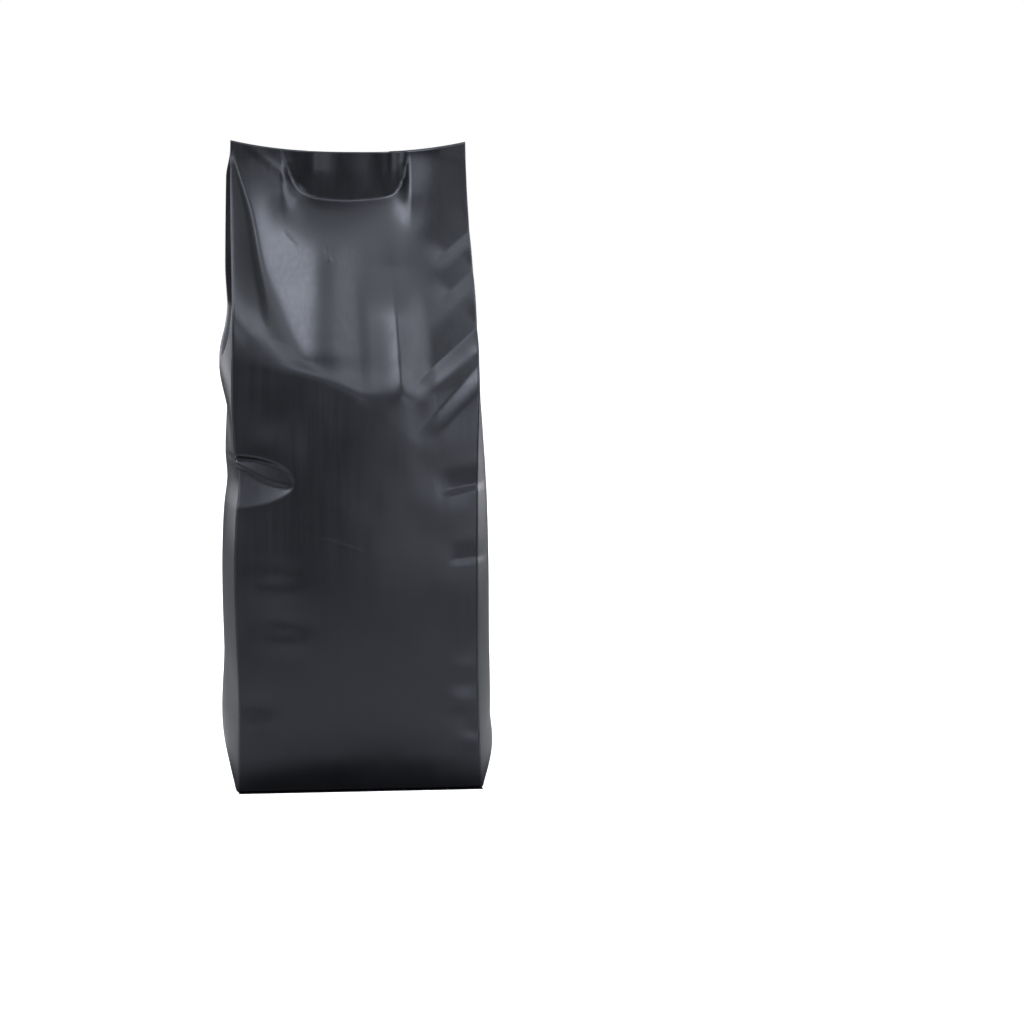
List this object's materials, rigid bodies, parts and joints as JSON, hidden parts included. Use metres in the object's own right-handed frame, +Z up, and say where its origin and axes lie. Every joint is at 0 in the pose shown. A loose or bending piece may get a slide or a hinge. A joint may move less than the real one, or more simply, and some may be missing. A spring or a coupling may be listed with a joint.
{
  "type": "side gusset coffee bag",
  "caption": "Filled side-gusset film bag standing on a folded flat base, with tucked gussets and a flat top seal that folds over.",
  "frame": {"origin": "on the floor, at the middle of the standing bag's box", "axes": "+Z up; -Y out of the front panel; +X to the right as seen from the front"},
  "size_m": [0.0893, 0.0572, 0.212],
  "materials": {
    "film": "satin",
    "beans": "satin"
  },
  "bodies": {
    "bag": {"front_panel": "film", "back_panel_left": "film", "back_panel_right": "film", "left_gusset_front": "film", "left_gusset_rear": "film", "right_gusset_front": "film", "right_gusset_rear": "film", "back_seal_inner_lip": "film", "back_seal_outer_lip": "film", "base_front_flap": "film", "base_rear_flap": "film", "bottom_seal_front_lip": "film", "bottom_seal_rear_lip": "film", "left_base_tuck": "film", "right_base_tuck": "film", "bean_charge": "beans"},
    "top_seal": {"top_seal_front_lip": "film", "top_seal_rear_lip": "film", "top_seal_left_tuck": "film", "top_seal_right_tuck": "film"}
  },
  "joints": [
    {"name": "top_seal_fold", "type": "hinge", "parent": "bag", "child": "top_seal", "pos_m": [0, 0.0075, 0.2023], "axis": [1, 0, 0], "range_deg": [-120, 120], "stiffness_Nm_per_rad": 0.0002}
  ]
}
